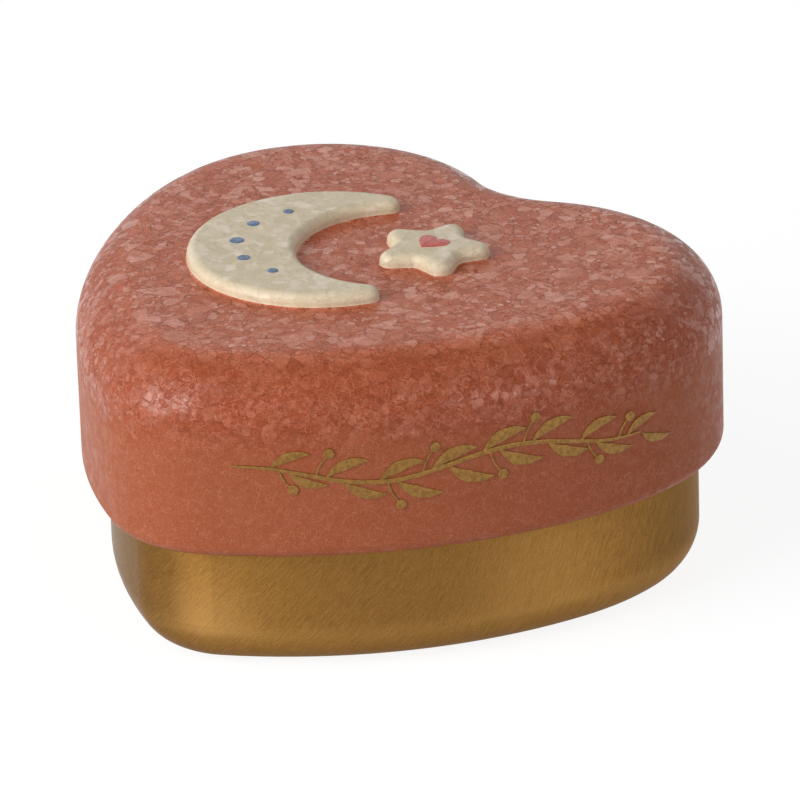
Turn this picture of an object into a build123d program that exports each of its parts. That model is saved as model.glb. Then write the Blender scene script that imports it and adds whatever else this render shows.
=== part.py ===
from build123d import *
from dataclasses import dataclass
import math
import os

# A small heart-shaped keepsake tin: a drawn base pan, and a cap that slips down over it.
# Millimetres. +Z is up and the origin is on the ground, under the middle of the heart. The heart's
# tip points to -Y and its notch to +Y. Both pieces are one sheet each, bent, curled and pressed.

# Outside of the closed tin, up to the flat of the cap
WIDTH = 65.0
LENGTH = 60.7
HEIGHT = 32.4

# Round stretches of the heart, on the outside of the cap's wall
LOBE_RADIUS = 19.5
NOTCH_RADIUS = 9.5
SHOULDER_RADIUS = 30.0
FLANK_RADIUS = 54.0
TIP_RADIUS = 12.3

# Sheet and curls
SHEET = 0.25
CURL_WRAP_DEGREES = 290.0

# Cap
CAP_DEPTH = 19.2
CAP_EDGE_RADIUS = 6.3
CAP_CURL_RADIUS = 1.15

# Base pan
BASE_EDGE_RADIUS = 4.8
BASE_CURL_RADIUS = 1.0
FOOT_WIDTH = 1.4
FLOOR_RISE = 0.6
FLOOR_BEND_RADIUS = 0.7

# Clearances: all round between the cap's curl and the base, and where the cap comes to rest
SLIP_GAP = 0.2
REST_GAP = 0.1

# Moon and star pressed up out of the cap
EMBOSS_HEIGHT = 1.4
EMBOSS_EDGE_RADIUS = 0.9
EMBOSS_FOOT_RADIUS = 0.25
MOON_X = -3.0
MOON_Y = 0.3
MOON_RADIUS = 13.5
MOON_HOLLOW_RADIUS = 10.2
MOON_HOLLOW_SHIFT = 7.4
MOON_POINT_RADIUS = 1.2
MOON_TURN_DEGREES = 35.0
STAR_RADIUS = 7.0
STAR_POINT_RADIUS = 1.2
STAR_CROOK_RADIUS = 1.0
STAR_TURN_DEGREES = 14.0
STAR_POINTS = 5
# How far out the star's crooks lie, and where its middle is, as shares of the star and the moon
STAR_CROOK_SHARE = 0.52
STAR_ACROSS_SHARE = 0.64
STAR_ALONG_SHARE = 0.44

# How far a cutting shape runs past the sheet that it cuts
OVERRUN = 1.0

# The base stands inside the cap's curl, and its own curl stops under the cap's rounded edge,
# so the height of that curl follows from the two curves that meet there.
BASE_INSET = 2 * CAP_CURL_RADIUS + SLIP_GAP
REST_REACH = CAP_EDGE_RADIUS - SHEET - REST_GAP - BASE_CURL_RADIUS
REST_ASIDE = CAP_EDGE_RADIUS - BASE_INSET - BASE_CURL_RADIUS
BASE_CURL_HEIGHT = HEIGHT - CAP_EDGE_RADIUS + math.sqrt(REST_REACH**2 - REST_ASIDE**2)


@dataclass
class WallArc:
    """A round stretch of the heart's wall, counter-clockwise from start, in degrees."""

    centre: Vector
    radius: float
    start: float
    sweep: float
    bends_in: bool = False

    def mirrored(self):
        """The same stretch on the other side of the heart."""
        centre = Vector(-self.centre.X, self.centre.Y)
        return WallArc(centre, self.radius, 180 - self.start - self.sweep, self.sweep)

    def radius_at(self, inset):
        """Its radius once it is moved into the heart by inset."""
        return self.radius + inset if self.bends_in else self.radius - inset


def towards(start, end):
    """The direction from one point to another in plan, in degrees."""
    return math.degrees(math.atan2(end.Y - start.Y, end.X - start.X))


def aside(centre, radius, degrees):
    """The point at a radius and a direction from a centre."""
    turn = math.radians(degrees)
    return centre + Vector(radius * math.cos(turn), radius * math.sin(turn))


def flank_centre(shoulder, tip):
    """The centre of the long flank, which blends into the shoulder and the tip."""
    to_shoulder = FLANK_RADIUS - SHOULDER_RADIUS
    to_tip = FLANK_RADIUS - TIP_RADIUS
    apart = (tip - shoulder).length
    along = (to_shoulder**2 - to_tip**2 + apart**2) / (2 * apart)
    off = math.sqrt(to_shoulder**2 - along**2)
    heading = towards(shoulder, tip)
    return aside(aside(shoulder, along, heading), off, heading - 90)


def heart_arcs():
    """The heart's wall as eight arcs that run smoothly into each other."""
    lobe = Vector(WIDTH / 2 - LOBE_RADIUS, LENGTH / 2 - LOBE_RADIUS)
    notch_reach = LOBE_RADIUS + NOTCH_RADIUS
    notch = Vector(0, lobe.Y + math.sqrt(notch_reach**2 - lobe.X**2))
    shoulder = Vector(WIDTH / 2 - SHOULDER_RADIUS, lobe.Y)
    tip = Vector(0, TIP_RADIUS - LENGTH / 2)
    flank = flank_centre(shoulder, tip)
    tip_end = towards(flank, tip)
    flank_end = towards(flank, shoulder)
    lobe_end = towards(lobe, notch)
    notch_start = towards(notch, lobe)
    right = [
        WallArc(flank, FLANK_RADIUS, tip_end, flank_end - tip_end),
        WallArc(shoulder, SHOULDER_RADIUS, flank_end, -flank_end),
        WallArc(lobe, LOBE_RADIUS, 0, lobe_end),
    ]
    tip_arc = WallArc(tip, TIP_RADIUS, -180 - tip_end, 180 + 2 * tip_end)
    notch_arc = WallArc(notch, NOTCH_RADIUS, -180 - notch_start, 180 + 2 * notch_start, True)
    return [tip_arc, *right, notch_arc, *[arc.mirrored() for arc in right]]


def heart_face(inset):
    """The heart in plan, set in from the cap's wall."""
    return make_face(
        [
            CenterArc(arc.centre, arc.radius_at(inset), arc.start, arc.sweep)
            for arc in heart_arcs()
        ]
    )


def wall_ring(section, inset):
    """A section of sheet carried all round the heart, set in from the cap's wall."""
    pieces = []
    for arc in heart_arcs():
        outwards = aside(Vector(0, 0), 1, arc.start)
        inwards = outwards if arc.bends_in else -outwards
        foot = arc.centre + outwards * arc.radius_at(inset)
        across = Plane(origin=foot, x_dir=inwards, z_dir=inwards.cross(Vector(0, 0, 1)))
        turning = Axis(arc.centre, Vector(0, 0, 1))
        pieces.append(revolve(across * section, turning, arc.sweep))
    return pieces


def cap_section():
    """The cap's wall cut across: x is inwards from its outside, y is the height."""
    edge = Vector(CAP_EDGE_RADIUS, HEIGHT - CAP_EDGE_RADIUS)
    curl = Vector(CAP_CURL_RADIUS, HEIGHT - CAP_DEPTH + CAP_CURL_RADIUS)
    curl_end = 180 + CURL_WRAP_DEGREES
    lines = [Line((edge.X, HEIGHT - SHEET), (edge.X, HEIGHT))]
    for depth in (0, SHEET):
        lines.append(CenterArc(edge, CAP_EDGE_RADIUS - depth, 90, 90))
        lines.append(Line((depth, edge.Y), (depth, curl.Y)))
        lines.append(CenterArc(curl, CAP_CURL_RADIUS - depth, 180, CURL_WRAP_DEGREES))
    outer_end = aside(curl, CAP_CURL_RADIUS, curl_end)
    inner_end = aside(curl, CAP_CURL_RADIUS - SHEET, curl_end)
    lines.append(Line(outer_end, inner_end))
    return make_face(lines)


def floor_step():
    """How far the step up to the base's floor turns, in degrees, and how far in it takes the sheet."""
    both_bends = 2 * FLOOR_BEND_RADIUS - SHEET
    turn = math.acos(1 - FLOOR_RISE / both_bends)
    return math.degrees(turn), both_bends * math.sin(turn)


def base_section():
    """The base's wall cut across: x is inwards from its outside, y is the height."""
    curl = Vector(BASE_CURL_RADIUS, BASE_CURL_HEIGHT)
    edge = Vector(BASE_EDGE_RADIUS, BASE_EDGE_RADIUS)
    turn, step = floor_step()
    foot_end = BASE_EDGE_RADIUS + FOOT_WIDTH
    floor_start = foot_end + step
    curl_end = 180 - CURL_WRAP_DEGREES
    lift = Vector(foot_end, FLOOR_BEND_RADIUS)
    level = Vector(floor_start, FLOOR_RISE + SHEET - FLOOR_BEND_RADIUS)
    outer_end = aside(curl, BASE_CURL_RADIUS, curl_end)
    inner_end = aside(curl, BASE_CURL_RADIUS - SHEET, curl_end)
    lines = [Line(outer_end, inner_end)]
    for depth in (0, SHEET):
        lines.append(CenterArc(curl, BASE_CURL_RADIUS - depth, curl_end, CURL_WRAP_DEGREES))
        lines.append(Line((depth, curl.Y), (depth, edge.Y)))
        lines.append(CenterArc(edge, BASE_EDGE_RADIUS - depth, 180, 90))
        lines.append(Line((edge.X, depth), (foot_end, depth)))
        lines.append(CenterArc(lift, FLOOR_BEND_RADIUS - depth, -90, turn))
        lines.append(CenterArc(level, FLOOR_BEND_RADIUS - SHEET + depth, 90, turn))
    lines.append(Line((floor_start, FLOOR_RISE), (floor_start, FLOOR_RISE + SHEET)))
    return make_face(lines)


def moon_outline(inset):
    """A crescent, open towards the right lobe, with rounded points, drawn smaller by inset."""
    middle = Vector(MOON_X, MOON_Y)
    hollow = aside(middle, MOON_HOLLOW_SHIFT, MOON_TURN_DEGREES)
    disc = Pos(middle) * Circle(MOON_RADIUS - inset)
    crescent = disc - Pos(hollow) * Circle(MOON_HOLLOW_RADIUS + inset)
    return fillet(crescent.vertices(), MOON_POINT_RADIUS - inset)


def star_outline(inset):
    """A plump star with rounded points, in the moon's hollow, drawn smaller by inset."""
    middle = Vector(MOON_X + STAR_ACROSS_SHARE * MOON_RADIUS, MOON_Y + STAR_ALONG_SHARE * MOON_RADIUS)
    step = 180 / STAR_POINTS
    point = aside(Vector(0, 0), STAR_RADIUS, 0)
    crook = aside(Vector(0, 0), STAR_CROOK_SHARE * STAR_RADIUS, step)
    side_reach = point.cross(crook).length / (crook - point).length
    scale = 1 - inset / side_reach
    corners = []
    for index in range(2 * STAR_POINTS):
        reach = crook.length if index % 2 else point.length
        corners.append(aside(middle, reach * scale, STAR_TURN_DEGREES + 90 + index * step))
    star = make_face(Polyline(*corners, close=True))
    by_reach = star.vertices().sort_by(lambda corner: (Vector(corner) - middle).length)
    star = fillet(by_reach[:STAR_POINTS], STAR_CROOK_RADIUS + inset)
    by_reach = star.vertices().sort_by(lambda corner: (Vector(corner) - middle).length)
    return fillet(by_reach[-STAR_POINTS:], STAR_POINT_RADIUS - inset)


def opening_edges(solid, facing):
    """The edges of the openings in the widest level face that looks up, or down."""
    level = solid.faces().filter_by(Axis.Z)
    widest = max([face for face in level if face.normal_at().Z * facing > 0], key=lambda face: face.area)
    return [edge for wire in widest.inner_wires() for edge in wire.edges()]


def pressed_up(cap, outlines):
    """The cap with outlines pressed up out of its flat, its sheet as thick as before."""
    under = HEIGHT - SHEET
    for outline in outlines:
        block = extrude(Pos(0, 0, under) * outline(0), SHEET + EMBOSS_HEIGHT)
        block = fillet(block.edges().group_by(Axis.Z)[-1], EMBOSS_EDGE_RADIUS)
        recess = extrude(Pos(0, 0, under - OVERRUN) * outline(SHEET), OVERRUN + EMBOSS_HEIGHT)
        recess = fillet(recess.edges().group_by(Axis.Z)[-1], EMBOSS_EDGE_RADIUS - SHEET)
        cap = cap + block - recess
    cap = cap.fillet(EMBOSS_FOOT_RADIUS, opening_edges(cap, 1))
    return cap.fillet(EMBOSS_FOOT_RADIUS + SHEET, opening_edges(cap, -1))


def cap():
    """The cap: flat top, round edge, straight wall, and a curl that turns in at its rim."""
    flat = extrude(Pos(0, 0, HEIGHT - SHEET) * heart_face(CAP_EDGE_RADIUS), SHEET)
    plain = flat.fuse(*wall_ring(cap_section(), 0))
    return pressed_up(plain, [moon_outline, star_outline])


def base():
    """The base pan: a floor raised inside its foot, a wall, and a curl that turns in at its rim."""
    floor_inset = BASE_INSET + BASE_EDGE_RADIUS + FOOT_WIDTH + floor_step()[1]
    floor = extrude(Pos(0, 0, FLOOR_RISE) * heart_face(floor_inset), SHEET)
    return floor.fuse(*wall_ring(base_section(), BASE_INSET))


os.makedirs("parts", exist_ok=True)
for name, solid in {"cap": cap(), "base": base()}.items():
    export_step(solid, "parts/" + name + ".step")
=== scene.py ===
import bpy
import math
from mathutils import Matrix, Vector


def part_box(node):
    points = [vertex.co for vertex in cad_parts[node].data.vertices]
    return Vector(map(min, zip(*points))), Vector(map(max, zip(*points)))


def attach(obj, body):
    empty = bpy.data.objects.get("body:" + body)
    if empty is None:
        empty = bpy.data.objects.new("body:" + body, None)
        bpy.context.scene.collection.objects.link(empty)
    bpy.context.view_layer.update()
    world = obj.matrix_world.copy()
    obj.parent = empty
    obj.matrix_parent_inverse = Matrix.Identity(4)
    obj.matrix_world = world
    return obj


# A small heart-shaped tin: a crystal-lacquered coral cap over a brushed gold base
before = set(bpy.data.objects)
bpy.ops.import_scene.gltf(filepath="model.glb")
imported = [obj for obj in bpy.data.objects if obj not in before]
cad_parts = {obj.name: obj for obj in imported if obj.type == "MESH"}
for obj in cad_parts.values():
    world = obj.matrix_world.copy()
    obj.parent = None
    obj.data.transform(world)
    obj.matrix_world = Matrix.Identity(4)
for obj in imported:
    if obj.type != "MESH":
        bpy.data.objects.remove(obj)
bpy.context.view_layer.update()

# Sizes and places are in millimetres and angles in degrees, unless a comment says otherwise
MM = 0.001
PER_METRE = 1000.0

# The cap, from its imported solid: its ends, the flat under its pressed forms, its round edge and its curl
cap_low, cap_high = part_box("cap")
CAP_FOOT = cap_low.z * PER_METRE
PRESS_HEIGHT = 1.4
FLAT_TOP = cap_high.z * PER_METRE - PRESS_HEIGHT
EDGE_RADIUS = 6.3
CURL_HEIGHT = 2.35

# The middle of the heart, from which its outside is told and round which it was brushed
HEART_MIDDLE = (0.0, -2.0)

# The photograph's camera, in Blender's units: where it looks, its turns, its distance, its shifts, its lens
LOOK_AT = Vector((0, 10.85 * MM, 17 * MM))
AZIMUTH = math.radians(40.701)
ELEVATION = math.radians(23.9412)
ROLL = math.radians(-1.836)
CAMERA_DISTANCE = 702.2 * MM
CAMERA_ACROSS = 2.2179 * MM
CAMERA_ALONG = 2.8778 * MM
LENS = 318.8

# How thick the printed ink lies, half of it in the lacquer, its rounded rim, and the steps of its strokes
INK = 0.26
LEAF_INK = 0.9 * INK
BERRY_INK = 1.1 * INK
RIM = 0.05
RIM_STEPS = 2
RIM_ANGLE = 50
STROKE_STEPS = 8

# The sprig: its middle on the cap's side, the way it faces, how far off it is drawn, and its length
SPRIG_PLACE = (20.3, -11.05, 22.0)
SPRIG_OUT = (0.811, -0.584)
SPRIG_STANDOFF = 12.0
SPRIG_LENGTH = 40.0

# Its stem: knots, width, how much of that is lost at the ends, and its wave
STEM_KNOTS = 12
STEM_WIDTH = 0.5
STEM_TAPER = 0.55
STEM_WAVE = 1.0
STEM_WAVE_LENGTH = 26.0

# Its pairs of leaves: their number, where in its stretch of stem each stands, and the loss at the ends
LEAF_PAIRS = 8
PAIR_START = 0.7
END_SHRINK = 0.3

# How far the lower leaf lags, where both leave the stem, their heading and bend, and their size and swell
LEAF_LAG = 1.6
LEAF_ROOT = 0.3 * STEM_WIDTH
LEAF_HEADING = 48.0
LEAF_BEND = -28.0
LEAF_LENGTH = 4.8
LEAF_WIDTH = 1.25
LEAF_SHARES = ((0.0, 0.12), (0.2, 0.6), (0.45, 1.0), (0.75, 0.72), (1.0, 0.05))

# Its berries: how far past a leaf their stalks leave the stem, how far off it they sit, and how far along
BERRY_LAG = 0.6
BERRY_REACH = 2.6
BERRY_LEAN = 1.3

# A berry's width, its shoulders' place and width as shares of that, and the width of its ends
BERRY = 1.05
SHOULDER_PLACE = 0.3
SHOULDER_WIDTH = 0.8
BERRY_END = 0.1

# A stalk's widths at its root, its middle and its tip, and how far its middle bends
STALK_WIDTHS = (0.22, 0.18, 0.2)
STALK_BEND = 0.2

# The enamel patches: their body, their rounded edge, and the steps of both
PATCH_BODY = 0.02
PATCH_EDGE = 0.05
PATCH_EDGE_STEPS = 3
PATCH_STEPS = 10

# The pressed moon's middle, the way its back faces, and the star's middle
MOON = (-3.0, 0.3)
MOON_BACK = 215.0
STAR = (5.64, 6.24)

# The dots along the moon: their number, the middle one's radius, the others' loss, their steps and reach
BEADS = 5
BEAD = 0.72
BEAD_SHRINK = 0.14
BEAD_STEP = 30.0
BEAD_REACH = 8.6

# How long the arms of a circle's four knots are, as a share of its radius
ROUND_ARM = 0.5523

# The red heart's outline on the star: each knot, its arm in and its arm out
HEART_KNOTS = (
    ((0, -1.55), (-0.45, 0.35), (0.45, 0.35)),
    ((1.65, 0.45), (0.0, -0.75), (0.0, 0.6)),
    ((0.85, 1.25), (0.45, 0.0), (-0.45, 0.0)),
    ((0, 0.65), (0.1, 0.35), (-0.1, 0.35)),
    ((-0.85, 1.25), (0.45, 0.0), (-0.45, 0.0)),
    ((-1.65, 0.45), (0.0, 0.6), (0.0, -0.75)),
)

# How a finished piece's seams are merged, and up to which angle it is shaded smooth
SEAM = 0.002
SMOOTH_ANGLE = 40

# The crystal shards, from the smallest up: their size, how many of them are there, and how they cover
SHARDS = ((0.45, 0.85, 0.8), (0.8, 0.6, 0.7), (1.25, 0.45, 0.65), (1.9, 0.21, 0.58))

# Past which size a shard counts as large, and how much of the large ones' cover is left on the side
LARGE_SHARD = 1.0
LARGE_ON_SIDE = 0.6

# How wide the shards' outlines are, how their tones lean to the dark, their sway, and the outlines' breaks
SHARD_OUTLINE = 0.1
SHARD_TONES = 1.4
SHARD_SWAY = (1.6, 0.3)
OUTLINE_BREAKS = (1.3, 0.22, 0.5)

# The hair cracks: how far apart they lie, how wide and crooked they are, and how they are broken
HAIR_CRACKS = (1.3, 0.65)
HAIR_WIDTH = 0.045
HAIR_SWAY = (1.8, 0.5)
HAIR_BREAKS = (0.9, 0.42, 0.6)

# The fine grain: how close it is, and between which of its levels glints and pits come
GRAIN = 7.0
GLINTS = (0.06, 0.22)
PITS = (-0.06, -0.22)

# Where the cap's finishes begin and end, and where the painted light on the edge's upper band lies, in edge
# radii under the flat top
TOP_REACH = (0.12, 0.01)
EDGE_REACH = (1.6, 0.7)
EDGE_LIT_BAND = (0.45, 0.12)
LARGE_REACH = (0.6, 0.05)

# How far over the flat top the cream begins
CREAM_START = (0.1, 0.16)

# The plain inside: how far under the flat top its wall begins, and how far down its ceiling faces
INSIDE_START = 0.1
INSIDE_DOWN = -0.4

# The cap's colours as a picture shows them: the ground, and the layers over it, each with its share; the
# top's paler ground and flakes are partly the lacquer's own and partly painted sheen
TOP_COLOURS = {
    "ground": (196, 98, 62),
    "flakes": (1.0, (210, 132, 102)),
    "outlines": (0.85, (126, 54, 34)),
    "glints": (0.6, (232, 172, 146)),
    "pits": (0.5, (132, 60, 38)),
}
EDGE_COLOURS = {
    "ground": (156, 71, 38),
    # Painted light: the round edge's upper band is lighter where it faces up to the lamps
    "lit_band": (1.0, (167, 81, 49)),
    "flakes": (0.42, (194, 110, 77)),
    "outlines": (0.6, (116, 48, 28)),
    # The crackle is the lacquer's own; its lighter lines are partly painted highlight, where raised edges
    # catch the light
    "cracks": (0.42, (214, 136, 104)),
    "glints": (0.45, (198, 118, 84)),
    "pits": (0.4, (112, 48, 28)),
}
SIDE_COLOURS = {
    "ground": (154, 80, 49),
    "flakes": (0.15, (183, 115, 85)),
    # The crackle is the lacquer's own; its lighter lines are partly painted highlight, where raised edges
    # catch the light
    "cracks": (0.32, (200, 130, 100)),
    "glints": (0.7, (190, 114, 82)),
    "pits": (0.8, (128, 60, 38)),
}
CREAM_COLOURS = {
    "ground": (220, 203, 171),
    "flakes": (1.0, (231, 215, 189)),
    "outlines": (0.3, (168, 150, 116)),
    "glints": (0.4, (240, 232, 216)),
}
INSIDE_COLOUR = (153, 110, 53)

# The lacquer's shine: from which paleness to which its coat grows, and from which weight to which
TOP_SHINE = (0.1, 1.0, 0.15, 0.7)
EDGE_SHINE = (0.1, 0.8, 0.12, 0.9)

# How much of that coat is left on the side and on the outlines, and how rough it is
SIDE_SHINE = 0.16
OUTLINE_SHINE = 0.1
COAT_ROUGH = 0.2

# How rough the lacquer is under its coat, from dark to pale, and how much it mirrors
LACQUER_ROUGH = (0.55, 0.4)
LACQUER_SPECULAR = 0.18

# The lacquer's relief: how steep its shards lie on the side, edge and cream, its grain, and its depth
SIDE_RELIEF = 0.1
EDGE_RELIEF = 1.5
CREAM_RELIEF = 0.3
GRAIN_RELIEF = 0.12
LACQUER_DEPTH = 0.15
LACQUER_BUMP = 0.8

# The middle that the base was brushed round, how far off it the wall stands, and what counts as a flat
BRUSH_MIDDLE = (*HEART_MIDDLE, 0.0)
BRUSH_REACH = 26.0
FLAT_FACE = 0.85

# How far the scratches lean up at the tip and at the lobe, and from where to where round the wall they turn
BRUSH_LEANS = (46.0, 72.0)
BRUSH_TURNS = (16.0, 44.0)

# The scratches' lengths and widths, and between which of their levels the gold goes from dark to light
SCRATCHES = ((3.0, 0.1), (1.0, 0.06))
SCRATCH_TONES = (0.34, 0.66)

# The gold lacquer's colours: the ground, and the layers over it, each with its share
GOLD_COLOURS = {
    "ground": (120, 83, 35),
    "scratches": (1.0, (150, 109, 54)),
    "dark_specks": (0.55, (104, 70, 28)),
    "pale_specks": (0.4, (170, 128, 70)),
}

# Between which levels of the grain the gold's dark and its pale specks come
DARK_SPECKS = (0.03, 0.2)
PALE_SPECKS = (-0.05, -0.2)

# Painted highlights on the tip and the flank, and painted shade on the lobe, in the gold's colour: place,
# reach, share and colour
GOLD_PAINTED_LIGHT = (
    ((3.8, -27.0, 3.6), (8.0, 8.0, 8.5), 0.16, (216, 172, 108)),
    ((26.0, -3.0, 5.0), (11.0, 11.0, 13.0), 0.13, (216, 166, 98)),
    ((30.0, 13.5, 6.0), (9.0, 9.0, 16.0), 0.32, (86, 62, 38)),
)

# How much of its reach such a painted patch's even core takes, and between which heights it fades over the
# foot
PAINTED_PATCH_CORE = 0.1
PAINTED_PATCH_START = (3.2, 4.4)

# The painted highlight where the wall bends over the foot: its height, reach, share and colour
BEND_HIGHLIGHT_HEIGHT = 3.9
BEND_HIGHLIGHT_REACH = 1.6
BEND_HIGHLIGHT_SHARE = 0.08
BEND_HIGHLIGHT_COLOUR = (216, 172, 100)

# The painted shade over the foot and under the cap's lower edge: how far each reaches, its share, and their
# colour
FOOT_SHADE_REACH = (2.8, 0.5)
FOOT_SHADE_SHARE = 0.5
CAP_EDGE_SHADE_REACH = 1.0
CAP_EDGE_SHADE_SHARE = 0.3
GOLD_SHADE = (88, 58, 24)

# The gold's sheen: its lean, its stretch, its turn in whole turns, its roughness, its tint and its coat
SHEEN_LEAN = 20.0
SHEEN_STRETCH = 0.8
SHEEN_TURN = 0.25
GOLD_ROUGH = (0.44, 0.38)
GOLD_TINT = (0.72, 0.64, 0.56, 1)
GOLD_COAT = 0.08
GOLD_COAT_ROUGH = 0.28

# The relief of the gold's specks, and the depth and strength of fine relief in gold and ink
SPECK_RELIEF = 0.3
FINE_DEPTH = 0.02
FINE_BUMP = 0.5

# The printing inks: their cloud of two tones, their roughness and coat, and each ink's light and dark tone
INK_CLOUD = 2.5
INK_TONES = (0.35, 0.65)
INK_ROUGH = (0.48, 0.32)
INK_COAT = 0.15
GOLD_INK = ((152, 111, 50), (126, 88, 36))
GOLD_INK_METAL = 0.7
BLUE_ENAMEL = ((72, 108, 146), (54, 88, 126))
RED_ENAMEL = ((198, 70, 56), (176, 52, 42))

# The floor: its size in metres, the paleness that lights the tin, and what is seen: shade and glow
FLOOR_SIZE = 6
FLOOR_LIGHT = (0.83, 0.83, 0.83, 1)
FLOOR_SHADE = (0.98, 0.98, 0.98, 1)
FLOOR_GLOW = 1.1
FLOOR_GLOW_SHARE = 0.8
WHITE = (1, 1, 1, 1)

# The sky: its light, how bright it is mirrored low and high, and between which rises it dims, 1 overhead
SKY_LIGHT = 0.12
SKY_WHITE = 1.0
SKY_DIM = 0.25
SKY_RISE = (0.5, 0.72)

# Lamps, all a metre off: how far to the left of the camera and how high, width and height in metres, watts
LAMPS = {
    "key_low": (57, 20, 0.8, 0.6, 8.4),
    "key_high": (57, 45, 0.8, 0.6, 3.0),
    "fill": (-70, 36, 1.6, 1.0, 2.6),
    "strip": (-40, 12, 0.5, 0.28, 0.7),
    "back": (180, 30, 0.8, 0.6, 0.5),
}


class Desk:
    """A material's node tree, with short ways to lay nodes and join them."""

    def __init__(self, name):
        self.material = bpy.data.materials.new(name)
        self.material.use_nodes = True
        self.tree = self.material.node_tree
        self.shader = self.tree.nodes["Principled BSDF"]

    def node(self, kind, inputs=(), **settings):
        """One node with its settings, and each input either joined or set."""
        made = self.tree.nodes.new(kind)
        for key, value in settings.items():
            setattr(made, key, value)
        for socket, value in dict(inputs).items():
            self.put(made, socket, value)
        return made

    def put(self, made, socket, value):
        """Joins a socket to an output, or gives it a value."""
        if isinstance(value, bpy.types.NodeSocket):
            self.tree.links.new(value, made.inputs[socket])
        else:
            made.inputs[socket].default_value = value

    def shade(self, **values):
        """Joins or sets the shader's sockets, which are named here with underscores for spaces."""
        for name, value in values.items():
            self.put(self.shader, name.replace("_", " "), value)

    def sum(self, kind, first, second=0.0, third=0.0):
        """A Math node's result."""
        inputs = {0: first, 1: second, 2: third}
        return self.node("ShaderNodeMath", inputs, operation=kind).outputs[0]

    def times(self, *factors):
        """The product of two or more values."""
        product = factors[0]
        for factor in factors[1:]:
            product = self.sum("MULTIPLY", product, factor)
        return product

    def vector(self, kind, first, second=(0, 0, 0), third=(0, 0, 0), scale=1.0):
        """A Vector Math node's vector."""
        inputs = {0: first, 1: second, 2: third, 3: scale}
        return self.node("ShaderNodeVectorMath", inputs, operation=kind).outputs["Vector"]

    def measure(self, kind, first, second=(0, 0, 0)):
        """A Vector Math node's single value, such as a length."""
        return self.node("ShaderNodeVectorMath", {0: first, 1: second}, operation=kind).outputs["Value"]

    def parts(self, vector):
        """A vector's X, Y and Z."""
        return self.node("ShaderNodeSeparateXYZ", {0: vector}).outputs

    def step(self, value, low, high, bottom=0.0, top=1.0):
        """A smooth step from bottom to top, as the value goes from low to high."""
        inputs = {0: value, 1: low, 2: high, 3: bottom, 4: top}
        return self.node("ShaderNodeMapRange", inputs, interpolation_type="SMOOTHSTEP").outputs[0]

    def mix(self, share, first, second):
        """Two values mixed by a share."""
        return self.node("ShaderNodeMix", {0: share, 2: first, 3: second}, data_type="FLOAT").outputs[0]

    def blend(self, share, first, second):
        """Two colours mixed by a share."""
        return self.node("ShaderNodeMix", {0: share, 6: first, 7: second}, data_type="RGBA").outputs[2]

    def layered(self, colours, **masks):
        """A ground colour with its layers over it, each by its mask and its share."""
        colour = srgb(*colours["ground"])
        for layer, mask in masks.items():
            if layer in colours:
                share, tone = colours[layer]
                colour = self.blend(self.times(mask, share), colour, srgb(*tone))
        return colour

    def noise(self, place, scale, **inputs):
        """A Noise Texture node."""
        return self.node("ShaderNodeTexNoise", {"Vector": place, "Scale": scale, **inputs})

    def cells(self, place, size, feature="F1"):
        """A Voronoi Texture node with cells of one size."""
        inputs = {"Vector": place, "Scale": 1 / size}
        return self.node("ShaderNodeTexVoronoi", inputs, feature=feature)

    def seams(self, place, size, width):
        """The seams between cells of one size, 1 in their middle and 0 at their width."""
        far = self.cells(place, size, "DISTANCE_TO_EDGE").outputs["Distance"]
        return self.step(self.times(far, size), 0.0, width, 1.0, 0.0)

    def bump(self, relief, depth, strength):
        """Gives the shader a relief."""
        inputs = {"Height": relief, "Distance": depth * MM, "Strength": strength}
        self.shade(Normal=self.node("ShaderNodeBump", inputs).outputs[0])

    def place(self):
        """Where a point lies on the piece, in millimetres."""
        where = self.node("ShaderNodeTexCoord").outputs["Object"]
        return self.vector("SCALE", where, scale=PER_METRE)

    def normal(self):
        """Which way a point faces on the piece."""
        return self.node("ShaderNodeTexCoord").outputs["Normal"]


def srgb(red, green, blue):
    """A colour as a picture shows it, from 0 to 255, as a shader's colour."""
    def plain(level):
        level = level / 255
        return level / 12.92 if level <= 0.04045 else ((level + 0.055) / 1.055) ** 2.4
    return (plain(red), plain(green), plain(blue), 1.0)


def shards(desk, place, size, share):
    """A layer of scattered crystal shards of one size: which are there, their tone, outline and tilt."""
    cells = desk.cells(place, size).outputs
    chance = desk.node("ShaderNodeSeparateColor", {0: cells["Color"]}).outputs
    there = desk.sum("LESS_THAN", chance[0], share)
    tone = desk.sum("POWER", chance[1], SHARD_TONES)
    outline = desk.times(desk.seams(place, size, SHARD_OUTLINE), there)
    lean = desk.vector("SUBTRACT", cells["Color"], (0.5, 0.5, 0.5))
    arm = desk.vector("SUBTRACT", place, cells["Position"])
    tilt = desk.times(desk.measure("DOT_PRODUCT", lean, arm), there)
    return there, tone, outline, tilt


def swayed(desk, place, scale, reach):
    """The place, moved about a little, so that what follows it is less even."""
    cloud = desk.noise(place, scale, Detail=3.0).outputs["Color"]
    sway = desk.vector("SUBTRACT", cloud, (0.5, 0.5, 0.5))
    return desk.vector("MULTIPLY_ADD", sway, (reach, reach, reach), place)


def broken(desk, place, scale, low, high):
    """A mask that lets lines show in some stretches and not in others."""
    return desk.step(desk.noise(place, scale, Detail=2.0).outputs["Fac"], low, high)


def hair_cracks(desk, place):
    """Fine crooked cracks of two sizes, each showing only in stretches."""
    crooked = swayed(desk, place, *HAIR_SWAY)
    closeness, low, high = HAIR_BREAKS
    cracks = 0.0
    for size in HAIR_CRACKS:
        crack = desk.seams(crooked, size, HAIR_WIDTH)
        crack = desk.times(crack, broken(desk, place, closeness / size, low, high))
        cracks = desk.sum("MAXIMUM", cracks, crack)
    return cracks


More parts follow.
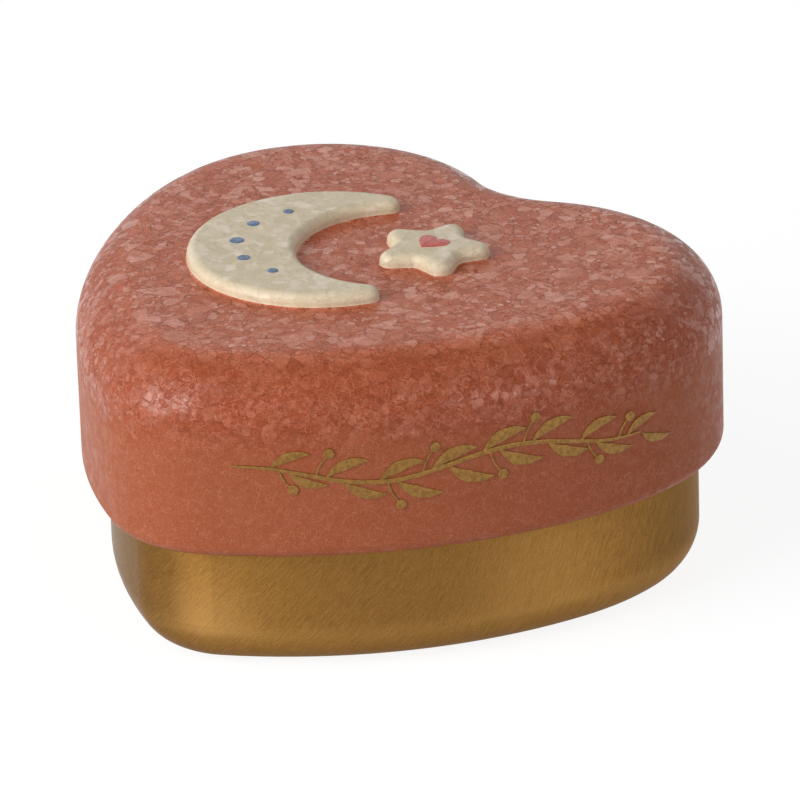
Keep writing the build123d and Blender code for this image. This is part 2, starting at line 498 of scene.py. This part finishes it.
def grain(desk, place):
    """Fine grain, from about -0.5 to 0.5."""
    cloud = desk.noise(place, GRAIN, Detail=2.0, Roughness=0.7).outputs["Fac"]
    return desk.sum("SUBTRACT", cloud, 0.5)


def under_top(desk, height, reach, bottom=0.0, top=1.0):
    """A step on the cap's height, between two places given in edge radii under its flat top."""
    low, high = (FLAT_TOP - radii * EDGE_RADIUS for radii in reach)
    return desk.step(height, low, high, bottom, top)


def crystals(desk, place, height):
    """All layers of shards over one another: how pale they are, their outlines and their relief."""
    bent = swayed(desk, place, *SHARD_SWAY)
    large = under_top(desk, height, LARGE_REACH, LARGE_ON_SIDE)
    pale = 0.0
    outlines = 0.0
    relief = 0.0
    for size, share, cover in SHARDS:
        there, tone, outline, tilt = shards(desk, bent, size, share)
        cover = desk.times(there, cover)
        if size > LARGE_SHARD:
            cover = desk.times(cover, large)
        pale = desk.mix(cover, pale, tone)
        outlines = desk.mix(cover, outlines, outline)
        relief = desk.sum("ADD", relief, tilt)
    return pale, desk.times(outlines, broken(desk, place, *OUTLINE_BREAKS)), relief


def cap_inside(desk, place, height):
    """1 on the cap's plain inside, 0 on its lacquered outside and its curl."""
    normal = desk.normal()
    middle = (*HEART_MIDDLE, CAP_FOOT)
    facing = desk.measure("DOT_PRODUCT", normal, desk.vector("SUBTRACT", place, middle))
    inwards = desk.sum("LESS_THAN", facing, 0.0)
    wall = desk.times(inwards, desk.sum("LESS_THAN", height, FLAT_TOP - INSIDE_START))
    down = desk.sum("LESS_THAN", desk.parts(normal)["Z"], INSIDE_DOWN)
    over_curl = desk.sum("GREATER_THAN", height, CAP_FOOT + CURL_HEIGHT)
    return desk.times(desk.sum("MAXIMUM", wall, down), over_curl)


def cap_lacquer():
    """The cap's print: crystallised coral, cream on what is pressed up, plain gold inside."""
    desk = Desk("coral_crystal_lacquer")
    place = desk.place()
    height = desk.parts(place)["Z"]
    on_top = under_top(desk, height, TOP_REACH)
    on_edge = under_top(desk, height, EDGE_REACH)
    on_cream = desk.step(height, *(FLAT_TOP + rise for rise in CREAM_START))
    inside = cap_inside(desk, place, height)

    pale, outlines, relief = crystals(desk, place, height)
    specks = grain(desk, place)
    masks = {
        # Painted light on the round edge's upper band
        "lit_band": under_top(desk, height, EDGE_LIT_BAND),
        "flakes": pale,
        "outlines": outlines,
        "cracks": hair_cracks(desk, place),
        "glints": desk.step(specks, *GLINTS),
        "pits": desk.step(specks, *PITS),
    }
    colour = desk.blend(on_edge, desk.layered(SIDE_COLOURS, **masks), desk.layered(EDGE_COLOURS, **masks))
    colour = desk.blend(on_top, colour, desk.layered(TOP_COLOURS, **masks))
    colour = desk.blend(on_cream, colour, desk.layered(CREAM_COLOURS, **masks))
    colour = desk.blend(inside, colour, srgb(*INSIDE_COLOUR))

    side_share = desk.step(on_edge, 0.0, 1.0, SIDE_SHINE, 1.0)
    edge_shine = desk.times(desk.step(pale, *EDGE_SHINE), side_share)
    shine = desk.mix(on_top, edge_shine, desk.step(pale, *TOP_SHINE))
    shine = desk.times(shine, desk.step(outlines, 0.0, 1.0, 1.0, OUTLINE_SHINE))
    desk.shade(
        Base_Color=colour,
        Metallic=inside,
        Roughness=desk.step(pale, 0.0, 1.0, *LACQUER_ROUGH),
        Specular_IOR_Level=LACQUER_SPECULAR,
        Coat_Weight=shine,
        Coat_Roughness=COAT_ROUGH,
    )

    relief = desk.times(relief, desk.step(on_edge, 0.0, 1.0, SIDE_RELIEF, EDGE_RELIEF))
    relief = desk.times(relief, desk.step(on_cream, 0.0, 1.0, 1.0, CREAM_RELIEF))
    relief = desk.sum("MULTIPLY_ADD", specks, GRAIN_RELIEF, relief)
    desk.bump(relief, LACQUER_DEPTH, LACQUER_BUMP)
    return desk.material


def scratched(desk, level, up, lean):
    """Fine scratches of two sizes, which lean up by an angle."""
    lean = math.radians(lean)
    along = desk.sum("MULTIPLY_ADD", level, math.cos(lean), desk.times(up, math.sin(lean)))
    across = desk.sum("MULTIPLY_ADD", level, -math.sin(lean), desk.times(up, math.cos(lean)))
    scratches = 0.0
    for length, width in SCRATCHES:
        inputs = {0: desk.sum("DIVIDE", along, length), 1: desk.sum("DIVIDE", across, width)}
        stretched = desk.node("ShaderNodeCombineXYZ", inputs).outputs[0]
        cloud = desk.noise(stretched, 1.0, Detail=2.0).outputs["Fac"]
        scratches = desk.sum("MULTIPLY_ADD", cloud, 1 / len(SCRATCHES), scratches)
    return scratches


def brushed_tone(desk, spot, flat):
    """The brushing: slantwise round the wall, steeper towards the lobes, and straight on the flats."""
    turn = desk.sum("ARCTAN2", spot["X"], desk.times(spot["Y"], -1.0))
    level = desk.mix(flat, desk.times(turn, BRUSH_REACH), spot["X"])
    up = desk.mix(flat, spot["Z"], spot["Y"])
    at_tip, at_lobe = [scratched(desk, level, up, lean) for lean in BRUSH_LEANS]
    return desk.mix(desk.step(level, *BRUSH_TURNS), at_tip, at_lobe)


def gold_with_painted_light(desk, colour, place, height, outside):
    """The gold with its painted light: highlights on the tip, the flank and the bend, and shade on the
    lobe, over the foot and under the cap's edge.
    """
    over_foot = desk.step(height, *PAINTED_PATCH_START)
    # Painted highlights on the tip and the flank and painted shade on the lobe, laid into the gold's colour
    for middle, reach, share, tone in GOLD_PAINTED_LIGHT:
        arm = desk.vector("DIVIDE", desk.vector("SUBTRACT", place, middle), reach)
        painted_patch = desk.step(desk.measure("LENGTH", arm), PAINTED_PATCH_CORE, 1.0, share, 0.0)
        colour = desk.blend(desk.times(painted_patch, over_foot), colour, srgb(*tone))
    # A painted highlight along the bend over the foot
    bend_highlight = desk.sum("ABSOLUTE", desk.sum("SUBTRACT", height, BEND_HIGHLIGHT_HEIGHT))
    bend_highlight = desk.times(desk.step(bend_highlight, BEND_HIGHLIGHT_REACH, 0.0, 0.0, BEND_HIGHLIGHT_SHARE), outside)
    colour = desk.blend(bend_highlight, colour, srgb(*BEND_HIGHLIGHT_COLOUR))
    # Painted shade, darker over the foot and in a band under the cap's lower edge
    foot = desk.step(height, *FOOT_SHADE_REACH, 0.0, FOOT_SHADE_SHARE)
    cap_edge_shade = desk.sum("ABSOLUTE", desk.sum("SUBTRACT", height, CAP_FOOT))
    cap_edge_shade = desk.step(cap_edge_shade, CAP_EDGE_SHADE_REACH, 0.0, 0.0, CAP_EDGE_SHADE_SHARE)
    dark = desk.times(desk.sum("MAXIMUM", foot, cap_edge_shade), outside)
    return desk.blend(dark, colour, srgb(*GOLD_SHADE))


def sheen_way(desk, normal, flat):
    """Which way the brushed sheen runs: round the wall and a little up, or straight on the flats."""
    lean = math.radians(SHEEN_LEAN)
    sideways = desk.vector("CROSS_PRODUCT", (0, 0, math.cos(lean)), normal)
    round_wall = desk.vector("ADD", sideways, (0, 0, math.sin(lean)))
    straight = (math.cos(lean), math.sin(lean), 0)
    way = desk.node("ShaderNodeMix", {0: flat, 4: round_wall, 5: straight}, data_type="VECTOR").outputs[1]
    turned = desk.node("ShaderNodeVectorTransform", {0: way}, convert_from="OBJECT", convert_to="WORLD")
    return turned.outputs[0]


def brushed_gold():
    """The base's finish: tinplate brushed round its wall, under a gold lacquer, with painted highlights and
    shade.
    """
    desk = Desk("brushed_gold_lacquer")
    place = desk.place()
    normal = desk.normal()
    flat = desk.sum("GREATER_THAN", desk.sum("ABSOLUTE", desk.parts(normal)["Z"]), FLAT_FACE)
    from_middle = desk.vector("SUBTRACT", place, BRUSH_MIDDLE)
    outside = desk.sum("GREATER_THAN", desk.measure("DOT_PRODUCT", normal, from_middle), 0.0)
    spot = desk.parts(from_middle)

    scratches = brushed_tone(desk, spot, flat)
    even = desk.step(scratches, *SCRATCH_TONES)
    specks = grain(desk, place)
    dark_specks = desk.step(specks, *DARK_SPECKS)
    pale_specks = desk.step(specks, *PALE_SPECKS)
    colour = desk.layered(GOLD_COLOURS, scratches=even, dark_specks=dark_specks, pale_specks=pale_specks)
    desk.shade(
        Base_Color=gold_with_painted_light(desk, colour, place, spot["Z"], outside),
        Metallic=1.0,
        Roughness=desk.step(even, 0.0, 1.0, *GOLD_ROUGH),
        Specular_Tint=GOLD_TINT,
        Anisotropic=SHEEN_STRETCH,
        Anisotropic_Rotation=SHEEN_TURN,
        Tangent=sheen_way(desk, normal, flat),
        Coat_Weight=GOLD_COAT,
        Coat_Roughness=GOLD_COAT_ROUGH,
    )
    desk.bump(desk.sum("MULTIPLY_ADD", specks, SPECK_RELIEF, scratches), FINE_DEPTH, FINE_BUMP)
    return desk.material


def printed(name, tones, metal=0.0):
    """Printing ink or enamel: two close tones in fine grain, and a soft coat."""
    desk = Desk(name)
    light, dark = tones
    cloud = desk.noise(desk.place(), INK_CLOUD, Detail=3.0, Roughness=0.7).outputs["Fac"]
    tone = desk.step(cloud, *INK_TONES)
    desk.shade(
        Base_Color=desk.blend(tone, srgb(*dark), srgb(*light)),
        Metallic=metal,
        Roughness=desk.step(tone, 0.0, 1.0, *INK_ROUGH),
        Coat_Weight=INK_COAT,
        Coat_Roughness=COAT_ROUGH,
    )
    desk.bump(cloud, FINE_DEPTH, FINE_BUMP)
    return desk.material


def only(*pieces):
    """Selects these pieces and nothing else."""
    bpy.ops.object.select_all(action="DESELECT")
    for piece in pieces:
        piece.select_set(True)
    bpy.context.view_layer.objects.active = pieces[0]


def joined(pieces):
    """Joins pieces into one."""
    only(*pieces)
    bpy.ops.object.join()
    return bpy.context.object


def add_modifier(piece, kind, **settings):
    """Adds a modifier and applies it."""
    modifier = piece.modifiers.new(kind.title(), kind)
    for key, value in settings.items():
        setattr(modifier, key, value)
    only(piece)
    bpy.ops.object.modifier_apply(modifier=modifier.name)


def to_mesh(line):
    """Makes a curve a mesh."""
    only(line)
    bpy.ops.object.convert(target="MESH")
    return bpy.context.object


def stroke(knots):
    """A flat pen stroke through knots, each a place along, a place up and a width there."""
    bpy.ops.curve.primitive_bezier_curve_add()
    line = bpy.context.object
    line.data.twist_mode = "Z_UP"
    # Half a millimetre to each side, times the width at each knot
    line.data.extrude = MM / 2
    line.data.resolution_u = STROKE_STEPS
    points = line.data.splines[0].bezier_points
    points.add(len(knots) - 2)
    for point, (along, up, width) in zip(points, knots):
        point.co = (along * MM, up * MM, 0)
        point.handle_left_type = "AUTO"
        point.handle_right_type = "AUTO"
        point.radius = width
        point.tilt = math.radians(90)
    return to_mesh(line)


def patch(knots, spot):
    """A thin enamel patch with a rounded edge on the pressed-up flat, from knots with their two arms."""
    bpy.ops.curve.primitive_bezier_circle_add()
    line = bpy.context.object
    line.data.dimensions = "2D"
    line.data.fill_mode = "BOTH"
    line.data.extrude = PATCH_BODY * MM
    line.data.bevel_depth = PATCH_EDGE * MM
    line.data.bevel_resolution = PATCH_EDGE_STEPS
    line.data.offset = -PATCH_EDGE * MM
    line.data.resolution_u = PATCH_STEPS
    points = line.data.splines[0].bezier_points
    points.add(len(knots) - len(points))
    for point, (place, arm_in, arm_out) in zip(points, knots):
        point.handle_left_type = "FREE"
        point.handle_right_type = "FREE"
        point.co = (place[0] * MM, place[1] * MM, 0)
        point.handle_left = ((place[0] + arm_in[0]) * MM, (place[1] + arm_in[1]) * MM, 0)
        point.handle_right = ((place[0] + arm_out[0]) * MM, (place[1] + arm_out[1]) * MM, 0)
    line.location = (spot[0] * MM, spot[1] * MM, cap_high.z)
    return to_mesh(line)


def dress(piece, material):
    """Gives a piece its only finish."""
    piece.data.materials.clear()
    piece.data.materials.append(material)


def finish_piece(piece, name, material):
    """Puts a piece's place in its mesh, closes its seams, turns its faces outwards and dresses it."""
    only(piece)
    bpy.ops.object.transform_apply(location=True, rotation=True, scale=True)
    bpy.ops.object.mode_set(mode="EDIT")
    bpy.ops.mesh.select_all(action="SELECT")
    bpy.ops.mesh.remove_doubles(threshold=SEAM * MM)
    bpy.ops.mesh.normals_make_consistent(inside=False)
    bpy.ops.object.mode_set(mode="OBJECT")
    bpy.ops.object.shade_smooth_by_angle(angle=math.radians(SMOOTH_ANGLE))
    piece.name = name
    piece.data.name = name
    dress(piece, material)
    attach(piece, "cap")


def stem_height(along):
    """How high the sprig's stem runs at a place along it."""
    return STEM_WAVE * math.sin(math.tau * along / STEM_WAVE_LENGTH)


def stem():
    """The sprig's wavy stem, thinner at its ends."""
    half = SPRIG_LENGTH / 2
    knots = []
    for step in range(STEM_KNOTS + 1):
        along = half * (2 * step / STEM_KNOTS - 1)
        width = STEM_WIDTH * (1 - STEM_TAPER * abs(along / half) ** 3)
        knots.append((along, stem_height(along), width))
    return stroke(knots)


def leaf(foot, side, size):
    """A leaf above or below the stem: one swelling stroke that bends a little as it goes."""
    root = stem_height(foot) + side * LEAF_ROOT
    knots = []
    for share, swell in LEAF_SHARES:
        turn = side * math.radians(LEAF_HEADING + LEAF_BEND * share)
        reach = share * LEAF_LENGTH * size
        along = foot + reach * math.cos(turn)
        up = root + reach * math.sin(turn)
        knots.append((along, up, swell * LEAF_WIDTH * size))
    return stroke(knots)


def berry_place(foot, side, size):
    """Where a berry sits beside the stem."""
    return foot + BERRY_LEAN, stem_height(foot) + side * BERRY_REACH * size


def stalk(foot, tip):
    """A berry's thin bent stalk, from the stem to the berry."""
    root = (foot, stem_height(foot))
    middle = ((root[0] + tip[0]) / 2 - STALK_BEND, (root[1] + tip[1]) / 2)
    return stroke([(*spot, width) for spot, width in zip((root, middle, tip), STALK_WIDTHS)])


def berry(tip):
    """A round berry, as one short stroke that swells."""
    along, up = tip
    shoulder = SHOULDER_PLACE * BERRY
    width = SHOULDER_WIDTH * BERRY
    return stroke([
        (along - BERRY / 2, up, BERRY_END),
        (along - shoulder, up, width),
        (along, up, BERRY),
        (along + shoulder, up, width),
        (along + BERRY / 2, up, BERRY_END),
    ])


def lay_on(strokes, thickness):
    """Turns strokes to face the cap's side, lays them on it and thickens them."""
    layer = joined(strokes)
    out = Vector((*SPRIG_OUT, 0)).normalized()
    level = Vector((-out.y, out.x, 0))
    turn = Matrix((level, Vector((0, 0, 1)), out)).transposed().to_4x4()
    spot = Vector(SPRIG_PLACE) * MM + out * SPRIG_STANDOFF * MM
    layer.matrix_world = Matrix.Translation(spot) @ turn
    bpy.context.view_layer.update()
    add_modifier(
        layer, "SHRINKWRAP", target=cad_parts["cap"], wrap_method="PROJECT", use_project_z=True,
        use_negative_direction=True, use_positive_direction=False,
    )
    add_modifier(layer, "SOLIDIFY", thickness=thickness * MM, offset=0)
    add_modifier(
        layer, "BEVEL", width=RIM * MM, segments=RIM_STEPS, limit_method="ANGLE",
        angle_limit=math.radians(RIM_ANGLE),
    )
    return layer


def gold_sprig():
    """A leafy sprig with berries, drawn in gold ink along the cap's side."""
    half = SPRIG_LENGTH / 2
    main_stem = stem()
    leaves = []
    berries = []
    for index in range(LEAF_PAIRS):
        along = half * (2 * (index + PAIR_START) / LEAF_PAIRS - 1)
        size = 1 - END_SHRINK * abs(along / half) ** 2
        leaves += [leaf(along, 1, size), leaf(along + LEAF_LAG, -1, size)]
        side = 1 if index % 2 else -1
        foot = along + BERRY_LAG - (LEAF_LAG if side > 0 else 0)
        tip = berry_place(foot, side, size)
        leaves.append(stalk(foot, tip))
        berries.append(berry(tip))
    layers = [lay_on([main_stem], INK), lay_on(leaves, LEAF_INK), lay_on(berries, BERRY_INK)]
    ink = printed("gold_ink", GOLD_INK, GOLD_INK_METAL)
    finish_piece(joined(layers), "gold_sprig", ink)


def round_knots(radius):
    """A circle of four knots."""
    knots = []
    for quarter in range(4):
        turn = math.radians(90 * quarter)
        away = Vector((math.cos(turn), math.sin(turn)))
        ahead = Vector((-away.y, away.x)) * ROUND_ARM * radius
        knots.append((away * radius, -ahead, ahead))
    return knots


def bead_trail():
    """A curved row of blue enamel dots along the moon."""
    dots = []
    for index in range(BEADS):
        step = index - (BEADS - 1) / 2
        turn = math.radians(MOON_BACK + step * BEAD_STEP)
        spot = (MOON[0] + BEAD_REACH * math.cos(turn), MOON[1] + BEAD_REACH * math.sin(turn))
        dots.append(patch(round_knots(BEAD * (1 - BEAD_SHRINK * abs(step))), spot))
    finish_piece(joined(dots), "blue_bead_trail", printed("blue_enamel", BLUE_ENAMEL))


def red_heart():
    """A small red enamel heart on the star."""
    finish_piece(patch(HEART_KNOTS, STAR), "red_heart", printed("red_enamel", RED_ENAMEL))


def seen(desk):
    """1 for a ray that shows a surface as it is seen or mirrored, 0 for one that carries its light."""
    path = desk.node("ShaderNodeLightPath").outputs
    either = desk.sum("MAXIMUM", path["Is Camera Ray"], path["Is Glossy Ray"])
    return desk.sum("MAXIMUM", either, path["Is Transmission Ray"])


def pale_floor():
    """A white floor that keeps the tin's shadow."""
    desk = Desk("pale_floor")
    lit = desk.node("ShaderNodeBsdfDiffuse", {0: FLOOR_LIGHT}).outputs[0]
    shaded = desk.node("ShaderNodeBsdfDiffuse", {0: FLOOR_SHADE}).outputs[0]
    glow = desk.node("ShaderNodeEmission", {0: WHITE, 1: FLOOR_GLOW}).outputs[0]
    shown = desk.node("ShaderNodeMixShader", {0: FLOOR_GLOW_SHARE, 1: shaded, 2: glow}).outputs[0]
    surface = desk.node("ShaderNodeMixShader", {0: seen(desk), 1: lit, 2: shown}).outputs[0]
    desk.put(desk.tree.nodes["Material Output"], "Surface", surface)
    return desk.material


class Sky(Desk):
    """The studio round the tin: white low down, dimmer overhead where it is only mirrored."""

    def __init__(self, name):
        world = bpy.data.worlds.new(name)
        world.use_nodes = True
        bpy.context.scene.world = world
        self.tree = world.node_tree
        rise = self.parts(self.node("ShaderNodeTexCoord").outputs["Generated"])["Z"]
        mirrored = self.step(rise, *SKY_RISE, SKY_WHITE, SKY_DIM)
        background = self.tree.nodes["Background"]
        self.put(background, "Color", WHITE)
        self.put(background, "Strength", self.mix(seen(self), SKY_LIGHT, mirrored))


def way_to(left, rise):
    """The way from the tin to a place: turned to the left of the camera, then raised, both in radians."""
    turn = AZIMUTH - left
    return Vector((math.sin(turn) * math.cos(rise), -math.cos(turn) * math.cos(rise), math.sin(rise)))


def lamp(name, left, rise, wide, high, power):
    """A square-cornered soft lamp that shines on the tin."""
    light = bpy.data.lights.new(name, "AREA")
    light.shape = "RECTANGLE"
    light.size = wide
    light.size_y = high
    light.energy = power
    holder = bpy.data.objects.new(name, light)
    bpy.context.scene.collection.objects.link(holder)
    spot = way_to(math.radians(left), math.radians(rise))
    holder.location = LOOK_AT + spot
    holder.rotation_mode = "QUATERNION"
    holder.rotation_quaternion = (-spot).to_track_quat("-Z", "Y")


def photo_camera():
    """The photograph's camera."""
    back = way_to(0, ELEVATION)
    level = Vector((math.cos(AZIMUTH), math.sin(AZIMUTH), 0))
    upright = back.cross(level)
    right = level * math.cos(ROLL) + upright * math.sin(ROLL)
    up = upright * math.cos(ROLL) - level * math.sin(ROLL)
    camera = bpy.data.objects.new("camera", bpy.data.cameras.new("camera"))
    bpy.context.scene.collection.objects.link(camera)
    spot = LOOK_AT + back * CAMERA_DISTANCE - right * CAMERA_ACROSS - up * CAMERA_ALONG
    camera.matrix_world = Matrix.Translation(spot) @ Matrix((right, up, back)).transposed().to_4x4()
    camera.data.lens = LENS
    bpy.context.scene.camera = camera


def stage_set():
    """Floor, sky, lamps and camera."""
    bpy.ops.mesh.primitive_plane_add(size=FLOOR_SIZE)
    floor = bpy.context.object
    floor.name = "floor"
    floor.data.materials.append(pale_floor())
    Sky("studio")
    for name, settings in LAMPS.items():
        lamp(name, *settings)
    photo_camera()
    bpy.context.scene.view_settings.view_transform = "Standard"


bpy.ops.object.select_all(action="DESELECT")
dress(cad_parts["cap"], cap_lacquer())
dress(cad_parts["base"], brushed_gold())
gold_sprig()
bead_trail()
red_heart()
stage_set()
